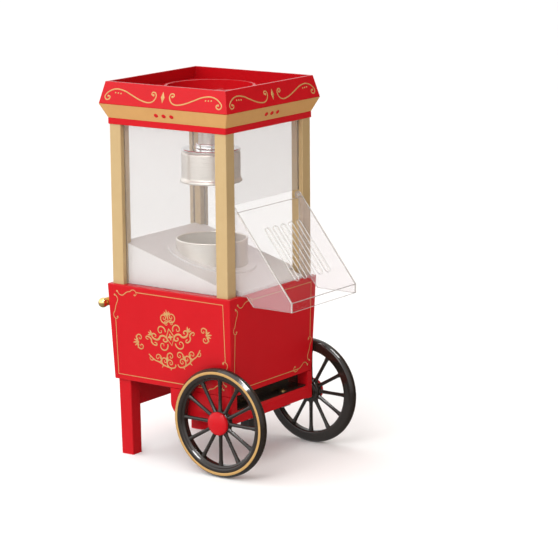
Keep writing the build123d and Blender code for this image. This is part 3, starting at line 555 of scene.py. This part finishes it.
def crown_scrolls():
    """Lozenge in the middle, a long wave with curled ends on each side, and three dots."""
    inner_curl = [(13.8, 1.4), (16.0, 2.6), (14.8, 5.0), (11.0, 4.4), (9.6, 0.4), (12.2, -4.4)]
    wave = [(17.0, -6.9), (23.5, -7.0), (33.0, -4.8), (44.8, -0.3), (55.0, 3.6), (66.0, 5.3), (75.0, 3.4)]
    outer_curl = [(81.4, -1.0), (83.4, -4.6), (81.0, -7.6), (77.0, -6.8), (76.0, -4.2), (78.2, -2.9)]
    half = [wavy(inner_curl + wave + outer_curl, 0.72)]
    centre = [[(0, -6.4, 0.15), (0, -3.2, 1.3), (0, 0, 2.7), (0, 3.2, 1.3), (0, 6.4, 0.15)]]
    beads = [(13.4, 1.6, 1.35, 1.35), (78.6, -3.6, 1.35, 1.35)]
    beads += [(60.5 + 4.0 * k, 0.4 + 0.25 * k, 0.95, 0.95) for k in range(3)]
    return half + flipped(half) + centre, beads + flipped([beads])[0]


def canopy_decoration():
    """Scrolls on the crown's four sides, and three red ovals on each side of the gold band."""
    lines, beads = crown_scrolls()
    for turn, name in enumerate(("front", "right", "rear", "left")):
        ornament(f"crown_scrolls_{name}", crown_face(turn), lines, beads)
        ovals = [(offset * 11 * MM, -0.6 * MM, 3.0 * MM, 2.5 * MM) for offset in (-1, 0, 1)]
        ruby = dots(ovals, band_face(turn), 0.35)
        add_piece(f"band_studs_{name}", ruby, "cart", "red_plastic", red)


# ---------------------------------------------------------------- wheels

WHEEL_STEPS = 160
HUB_STEPS = 72
SPOKE_STEPS = 20
SPOKES = 12
RIM_DEPTH = 14 * MM
RIM_WIDTH = 12 * MM
STRIPE_HALF = 1.6 * MM
HUB_BACK = 8.5 * MM


def rim_outline(radius, x1, stripe_radius):
    """Section of the rim: rounded tread, a raised lip each side of the stripe, and a stepped inner edge."""
    inner = radius - RIM_DEPTH
    x0 = x1 - RIM_WIDTH
    stripe_in, stripe_out = stripe_radius - STRIPE_HALF, stripe_radius + STRIPE_HALF
    groove = x1 - 0.6 * MM
    back = [(inner, x0 + 1.2 * MM), (inner + 1.6 * MM, x0), (radius - 3.0 * MM, x0)]
    tread = [(radius, x0 + 3.4 * MM), (radius, x1 - 4.4 * MM), (radius - 3.2 * MM, x1 - 0.1 * MM)]
    stripe_bed = [(stripe_out, x1), (stripe_out, groove), (stripe_in, groove), (stripe_in, x1)]
    step_in = [(inner + 3.4 * MM, x1 - 0.2 * MM), (inner + 2.2 * MM, x1 - 2.6 * MM), (inner, x1 - 3.6 * MM)]
    return soften(back + tread + stripe_bed + step_in, 1.5 * MM)


def stripe_outline(stripe_radius, outer):
    """Section of the stripe, slightly crowned."""
    stripe_in, stripe_out = stripe_radius - STRIPE_HALF, stripe_radius + STRIPE_HALF
    under, edge, crown = outer - 0.7 * MM, outer + 0.02 * MM, outer + 0.24 * MM
    points = [(stripe_in, under), (stripe_in, edge), (stripe_radius, crown),
              (stripe_out, edge), (stripe_out, under)]
    return soften(points, 0.5 * MM)


def hub_outline(hub_x):
    """Section of the hub, as (radius, height) about the plane of the spokes."""
    hub = [(3.05, -8.5), (10.0, -8.5), (10.0, -6.0), (13.6, -5.2), (14.0, 1.6), (12.6, 3.0), (3.05, 3.0)]
    return soften([(r * MM, hub_x + h * MM) for r, h in hub], 0.8 * MM)


def spoke_outline():
    """Section of one turned spoke, as (radius, distance from the axle)."""
    root = [(0, 11.0), (2.9, 11.0), (2.9, 14.5), (2.25, 16.5), (2.05, 30.0)]
    tip = [(2.25, 44.0), (2.7, 47.5), (2.9, 52.0), (0, 52.0)]
    return [(r * MM, h * MM) for r, h in root + tip]


def wheel(name):
    """Rim, stripe, spokes, hub and cap of one wheel about its axle."""
    side = SIDES[name]
    low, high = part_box(f"wheel_{name}")
    centre = (low + high) / 2
    axle = axis_place(Vector((0, centre.y, centre.z)), X_AXIS * side)
    radius = (high.z - low.z) / 2
    hub_inner, outer = sorted((abs(low.x), abs(high.x)))
    stripe_low, stripe_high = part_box(f"wheel_stripe_{name}")
    stripe_outer = (stripe_high.z - stripe_low.z) / 2
    stripe_radius = stripe_outer - STRIPE_HALF
    spoke_x = hub_inner + HUB_BACK
    body = f"{name}_wheel"
    shapes = [lathe(rim_outline(radius, outer, stripe_radius), axle, WHEEL_STEPS)]
    shapes.append(lathe(hub_outline(spoke_x), axle, HUB_STEPS))
    for turn in range(SPOKES):
        angle = 2 * math.pi * turn / SPOKES
        direction = Vector((math.cos(angle), math.sin(angle), 0))
        place = axle @ axis_place(Vector((0, 0, spoke_x)), direction)
        shapes.append(lathe(spoke_outline(), place, SPOKE_STEPS))
    rim = add_piece(f"spoked_wheel_{name}", merged(shapes), body, "black_plastic", black)
    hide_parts(f"wheel_{name}")
    stripe = lathe(stripe_outline(stripe_radius, outer), axle, WHEEL_STEPS)
    band = add_piece(f"gold_stripe_{name}", stripe, body, "gold_paint", gold_line)
    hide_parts(f"wheel_stripe_{name}")
    hub_dome(name, axle, body)


def hub_dome(name, axle, body):
    """Domed red cap with a rolled edge."""
    low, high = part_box(f"hub_cap_{name}")
    edge = (high.z - low.z) / 2
    near, far = sorted((abs(low.x), abs(high.x)))
    bore = 9.2 * MM
    dome_start = near + 2.6 * MM
    points = [(bore, near), (edge - 0.6 * MM, near), (edge, near + 0.8 * MM), (edge, near + 2.4 * MM)]
    for step in range(12):
        angle = math.radians(8 + step * 82 / 11)
        points.append((edge * math.cos(angle), dome_start + (far - dome_start) * math.sin(angle)))
    points += [(0.0, far - 1.6 * MM), (bore, far - 3.2 * MM)]
    dome = add_piece(f"hub_dome_{name}", lathe(points, axle, HUB_STEPS), body, "red_plastic", red)
    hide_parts(f"hub_cap_{name}")


# ---------------------------------------------------------------- kettle

KETTLE_STEPS = 144
NECK_STEPS = 96
NECK_WALL = 1.2 * MM


def turned_piece(name, node, outline, steps, slot, material):
    """A piece turned about the cabinet's upright axis, in place of its CAD node."""
    axis = Matrix.Translation((0, MID_Y, 0))
    piece = add_piece(name, lathe(outline, axis, steps), "cart", slot, material)
    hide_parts(node)


def drum_outline():
    """Section of the drum: straight wall, rounded shoulder and a flared bottom bead."""
    low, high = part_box("kettle_drum")
    rim, z0, z1 = high.x, low.z, high.z
    wall = rim - 2.0 * MM
    bead = [(wall - 1.2 * MM, z0 + 0.6 * MM), (rim - 1.0 * MM, z0), (rim, z0 + 1.2 * MM),
            (rim - 0.2 * MM, z0 + 3.0 * MM)]
    outside = [(wall + 0.1 * MM, z0 + 5.2 * MM), (wall, z0 + 8.0 * MM), (wall, z1 - 2.6 * MM)]
    shoulder = [(wall - 2.4 * MM, z1), (wall - 3.4 * MM, z1)]
    inside = [(wall - 1.4 * MM, z1 - 3.4 * MM), (wall - 1.2 * MM, z0 + 6.0 * MM)]
    return soften(bead + outside + shoulder + inside, 1.2 * MM)


def lid_outline(neck):
    """Section of the top plate, from the neck out to a bevelled edge."""
    low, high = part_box("kettle_top_plate")
    edge = high.x
    points = [(neck - NECK_WALL, low.z), (edge - 0.6 * MM, low.z), (edge, low.z + 0.9 * MM),
              (edge - 1.4 * MM, high.z), (neck - NECK_WALL, high.z)]
    return soften(points, 0.5 * MM)


def sleeve_outline(inner, outer, low_z, high_z, corner):
    """Section of a plain ring or pipe."""
    return soften([(inner, low_z), (outer, low_z), (outer, high_z), (inner, high_z)], corner)


def kettle():
    """Hanging drum with its top plate, flange ring and neck, all turned about one axis."""
    neck_low, neck_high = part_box("kettle_neck")
    neck = neck_high.x
    flange_low, flange_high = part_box("kettle_flange")
    ring = sleeve_outline(neck, flange_high.x, flange_low.z, flange_high.z, 1.0 * MM)
    pipe = sleeve_outline(neck - NECK_WALL, neck, neck_low.z, neck_high.z, 0.3 * MM)
    lid = lid_outline(neck)
    turned_piece("kettle_body", "kettle_drum", drum_outline(), KETTLE_STEPS, "brushed_aluminium", brushed)
    turned_piece("kettle_lid", "kettle_top_plate", lid, KETTLE_STEPS, "polished_metal", polished)
    turned_piece("kettle_ring", "kettle_flange", ring, NECK_STEPS, "brushed_aluminium", polished)
    turned_piece("kettle_pipe", "kettle_neck", pipe, NECK_STEPS, "brushed_aluminium", brushed)


# ---------------------------------------------------------------- chute hood

HOOD_WALL = 2.0 * MM
HOOD_EDGE = 0.35 * MM
HOOD_SLOTS = 5
HOOD_SLOT_PITCH = 15.5 * MM
HOOD_SLOT_HALF = 3.5 * MM
HOOD_SLOT_LENGTH = 71 * MM
HOOD_SLOT_START = 27 * MM
HOOD_HALF = 65 * MM
HOOD_TOP = Vector((0, MID_Y - 85.3 * MM, 305.2 * MM))
HOOD_LIP = 11 * MM
HINGE = Vector((0, MID_Y - 79 * MM, 306 * MM))
PIN_RADIUS = 1.5 * MM
PIN_ROOT = 1 * MM
EAR_RADIUS = 4.5 * MM
NOTCH_RADIUS = 9 * MM


def slot_loop(middle, low, high, half, steps=10):
    """Outline of a slot with round ends."""
    loop = []
    for step in range(steps + 1):
        angle = math.pi * step / steps
        loop.append((middle + half * math.cos(angle), high - half + half * math.sin(angle)))
    for step in range(steps + 1):
        angle = math.pi + math.pi * step / steps
        loop.append((middle + half * math.cos(angle), low + half + half * math.sin(angle)))
    return loop


def rectangle(half_x, half_y):
    """Outline of a rectangle about the origin."""
    return [(-half_x, -half_y), (half_x, -half_y), (half_x, half_y), (-half_x, half_y)]


def hood_panel(fold):
    """Sloping front sheet from the fold up to the hinge line, with its slots."""
    slope = HOOD_TOP - fold
    up = slope.normalized()
    normal = X_AXIS.cross(up)
    loops = [rectangle(HOOD_HALF, slope.length / 2)]
    slot_top = slope.length / 2 - HOOD_SLOT_START
    for column in range(HOOD_SLOTS):
        middle = (column - (HOOD_SLOTS - 1) / 2) * HOOD_SLOT_PITCH
        loops.append(slot_loop(middle, slot_top - HOOD_SLOT_LENGTH, slot_top, HOOD_SLOT_HALF))
    place = face_place((HOOD_TOP + fold) / 2 - normal * HOOD_WALL / 2, normal, up)
    return cut_sheet(loops, HOOD_WALL, HOOD_EDGE, place)


def hood_lip(fold, lip_z):
    """Short upright lip under the fold."""
    half_tall = (fold.z - lip_z) / 2
    place = face_place(Vector((0, fold.y + HOOD_WALL / 2, (fold.z + lip_z) / 2)), -Y_AXIS, Z_AXIS)
    return cut_sheet([rectangle(HOOD_HALF, half_tall)], HOOD_WALL, HOOD_EDGE, place)


def cheek(side, fold, lip_z):
    """One side of the hood, with the notch that clears the base and the ear around the pin."""
    back = MID_Y - 80 * MM
    notch_y, notch_z = MID_Y - 97 * MM, 208 * MM
    front = fold.y + 0.6 * MM
    loop = [(front, fold.z), (front, lip_z), (notch_y - NOTCH_RADIUS, lip_z)]
    for step in range(1, 9):
        angle = math.radians(90 * step / 8)
        rise = (notch_z - lip_z) * (1 - math.cos(angle))
        loop.append((notch_y - NOTCH_RADIUS * math.cos(angle), lip_z + rise))
    loop += [(notch_y, notch_z), (back, notch_z), (back, HINGE.z - EAR_RADIUS)]
    for step in range(1, 16):
        angle = math.radians(-80 + 230 * step / 16)
        loop.append((HINGE.y + EAR_RADIUS * math.cos(angle), HINGE.z + EAR_RADIUS * math.sin(angle)))
    loop.append((HOOD_TOP.y + 0.6 * MM, HOOD_TOP.z))
    place = face_place(Vector((side * (HOOD_HALF - HOOD_WALL / 2), 0, 0)), X_AXIS, Z_AXIS)
    return cut_sheet([loop], HOOD_WALL, HOOD_EDGE, place, 3)


def hinge_pin(side, pin_end):
    """Round pin from the cheek out into the pillar."""
    start = Vector((side * (HOOD_HALF - PIN_ROOT), HINGE.y, HINGE.z))
    length = pin_end - HOOD_HALF + PIN_ROOT
    outline = [(0, 0), (PIN_RADIUS, 0), (PIN_RADIUS, length), (0, length)]
    return lathe(soften(outline, 0.2 * MM), axis_place(start, X_AXIS * side), 24)


def hood():
    """Clear hood: slotted sloping panel, short lip, two cheeks with an ear, and the hinge pins."""
    low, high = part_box("chute_hood")
    fold = Vector((0, low.y, low.z + HOOD_LIP))
    shapes = [hood_panel(fold), hood_lip(fold, low.z)]
    shapes += [cheek(side, fold, low.z) for side in SIDES.values()]
    piece = add_piece("clear_hood", merged(shapes), "hood", "clear_acrylic", *HOOD_MATERIALS)
    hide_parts("chute_hood")
    pins = [hinge_pin(side, high.x) for side in SIDES.values()]
    # The pins wear the edge material with its painted highlight.
    add_piece("hood_pins", merged(pins), "hood", "clear_acrylic", acrylic_painted_highlight)


# ---------------------------------------------------------------- handle

def handle():
    """Turned push bar with a collar and a ball at each end."""
    low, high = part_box("handle_bar")
    middle = (low + high) / 2
    ball = (high.z - low.z) / 2
    outline = [(0.0, low.x)]
    for step in range(1, 13):
        angle = math.radians(180 - step * 150 / 12)
        outline.append((ball * math.sin(angle), low.x + ball + ball * math.cos(angle)))
    neck = low.x + 2 * ball
    collar = 4.3 * MM
    outline += [(2.6 * MM, neck - 0.2 * MM), (collar, neck + 0.6 * MM), (collar, neck + 1.8 * MM)]
    outline.append((3.2 * MM, neck + 2.6 * MM))
    outline += [(r, -x) for r, x in reversed(outline)]
    place = axis_place(Vector((0, middle.y, middle.z)), X_AXIS)
    bar = add_piece("turned_handle", lathe(outline, place, 48), "cart", "brass", brass)
    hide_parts("handle_bar")


# ---------------------------------------------------------------- stage, lights and camera

BRIGHT_SIDE = (-0.77, 0.64, 0.0)
WALL_LEVELS = (0.3, 2.0)
UNDER_LEVEL = 0.25
HORIZON = (-0.2, 0.1)
WARM_WALL = (1.0, 0.6, 0.35, 1)
WARM_SPREAD = (-0.9, -0.32)

STAGE_MIDDLE = Vector((0, MID_Y, 0.22))
LEFT_WHEEL = Vector((-0.09, -0.05, 0.064))
KEY_PLACE, KEY_SIZE, KEY_POWER = (-1.25, -0.35, 1.15), (0.8, 0.8), 9
TOP_PLACE, TOP_SIZE, TOP_POWER = (0.1, 0.2, 1.7), (1.2, 1.2), 4
STRIP_PLACE, STRIP_SIZE, STRIP_POWER = (-0.25, -0.47, 1.29), (0.25, 0.5), 16
FLOOR_HALF = 30.0

LENS = 158.41
CAMERA_AZIMUTH, CAMERA_PITCH, CAMERA_ROLL = 54.589, 11.821, -0.472
CAMERA_PLACE = (-2.26277, -1.70468 + MID_Y, 0.79915)


def area_light(name, place, target, size, power, colour=(1, 1, 1)):
    light = bpy.data.lights.new(name, "AREA")
    light.shape = "RECTANGLE"
    light.size, light.size_y = size
    light.energy = power
    light.color = colour
    holder = bpy.data.objects.new(name, light)
    bpy.context.scene.collection.objects.link(holder)
    holder.location = place
    holder.rotation_euler = (Vector(target) - Vector(place)).to_track_quat("-Z", "Y").to_euler()
    return holder


def sky_gradient(world):
    """Studio walls, bright on the key's side, dim and warm on the chute's side, darker below."""
    nodes, links = world.node_tree.nodes, world.node_tree.links
    where = nodes.new("ShaderNodeTexCoord")
    towards = nodes.new("ShaderNodeVectorMath")
    towards.operation = "DOT_PRODUCT"
    towards.inputs[1].default_value = BRIGHT_SIDE
    links.new(where.outputs["Generated"], towards.inputs[0])
    level = nodes.new("ShaderNodeMapRange")
    level.inputs["From Min"].default_value = -1
    level.inputs["To Min"].default_value, level.inputs["To Max"].default_value = WALL_LEVELS
    links.new(towards.outputs["Value"], level.inputs["Value"])
    height = nodes.new("ShaderNodeSeparateXYZ")
    links.new(where.outputs["Generated"], height.inputs["Vector"])
    below = nodes.new("ShaderNodeMapRange")
    below.inputs["From Min"].default_value, below.inputs["From Max"].default_value = HORIZON
    below.inputs["To Min"].default_value = UNDER_LEVEL
    links.new(height.outputs["Z"], below.inputs["Value"])
    both = nodes.new("ShaderNodeMath")
    both.operation = "MULTIPLY"
    links.new(level.outputs["Result"], both.inputs[0])
    links.new(below.outputs["Result"], both.inputs[1])
    tint = nodes.new("ShaderNodeMix")
    tint.data_type = "RGBA"
    tint.inputs["A"].default_value = WARM_WALL
    tint.inputs["B"].default_value = (1, 1, 1, 1)
    share = nodes.new("ShaderNodeMapRange")
    share.inputs["From Min"].default_value, share.inputs["From Max"].default_value = WARM_SPREAD
    links.new(towards.outputs["Value"], share.inputs["Value"])
    links.new(share.outputs["Result"], tint.inputs["Factor"])
    links.new(tint.outputs["Result"], nodes["Background"].inputs["Color"])
    links.new(both.outputs["Value"], nodes["Background"].inputs["Strength"])


def flag():
    """Dark card beside the set that only reflections see, so that gloss on the chute side has depth."""
    place = face_place(Vector((0.9, -0.75, 0.35)), Vector(BRIGHT_SIDE), Z_AXIS)
    card = bpy.data.objects.new("flag", slab(-0.6, 0.6, -0.5, 0.5, -0.01, 0.01, 0.004, place))
    bpy.context.scene.collection.objects.link(card)
    card.data.materials.append(matt_black)
    card.visible_camera = card.visible_diffuse = card.visible_shadow = False
    card.visible_transmission = False


def floor():
    """White paper under the object, which reflections don't see."""
    mesh = bpy.data.meshes.new("floor")
    corners = [(x, y, 0) for x, y in rectangle(FLOOR_HALF, FLOOR_HALF)]
    mesh.from_pydata(corners, [], [(0, 1, 2, 3)])
    paper = bpy.data.objects.new("floor", mesh)
    bpy.context.scene.collection.objects.link(paper)
    mesh.materials.append(surface("floor_paper", (0.93, 0.93, 0.93), (0.91, 0.91, 0.91), 0.8, 0.05, 3,
                                  Specular_IOR_Level=0.1))
    paper.visible_glossy = False


def stage():
    """Floor, studio walls, three lights and the dark card. The strip only makes highlights."""
    floor()
    world = bpy.data.worlds.new("studio")
    bpy.context.scene.world = world
    world.use_nodes = True
    sky_gradient(world)
    area_light("key", KEY_PLACE, STAGE_MIDDLE, KEY_SIZE, KEY_POWER, (1, 0.985, 0.96))
    area_light("top", TOP_PLACE, STAGE_MIDDLE, TOP_SIZE, TOP_POWER)
    flag()
    strip = area_light("strip", STRIP_PLACE, LEFT_WHEEL, STRIP_SIZE, STRIP_POWER)
    strip.visible_diffuse = False


def camera():
    """Long lens from the left and a little above, as far away as the perspective needs."""
    data = bpy.data.cameras.new("camera")
    data.sensor_width = 36.0
    data.lens = LENS
    holder = bpy.data.objects.new("camera", data)
    bpy.context.scene.collection.objects.link(holder)
    azimuth, pitch, roll = (math.radians(angle) for angle in (CAMERA_AZIMUTH, CAMERA_PITCH, CAMERA_ROLL))
    level = Vector((math.sin(azimuth), math.cos(azimuth), 0))
    ahead = level * math.cos(pitch) - Z_AXIS * math.sin(pitch)
    right = Vector((math.cos(azimuth), -math.sin(azimuth), 0))
    above = right.cross(ahead)
    turned_right = right * math.cos(roll) + above * math.sin(roll)
    turned_up = above * math.cos(roll) - right * math.sin(roll)
    place = Matrix((turned_right, turned_up, -ahead)).transposed().to_4x4()
    place.translation = Vector(CAMERA_PLACE)
    holder.matrix_world = place
    data.clip_start, data.clip_end = 0.05, 100.0
    bpy.context.scene.camera = holder


bpy.context.scene.view_settings.view_transform = "Standard"
dress_cad_nodes()
camera()
stage()
base_decoration()
canopy_decoration()
for side_name in SIDES:
    wheel(side_name)
kettle()
hood()
handle()
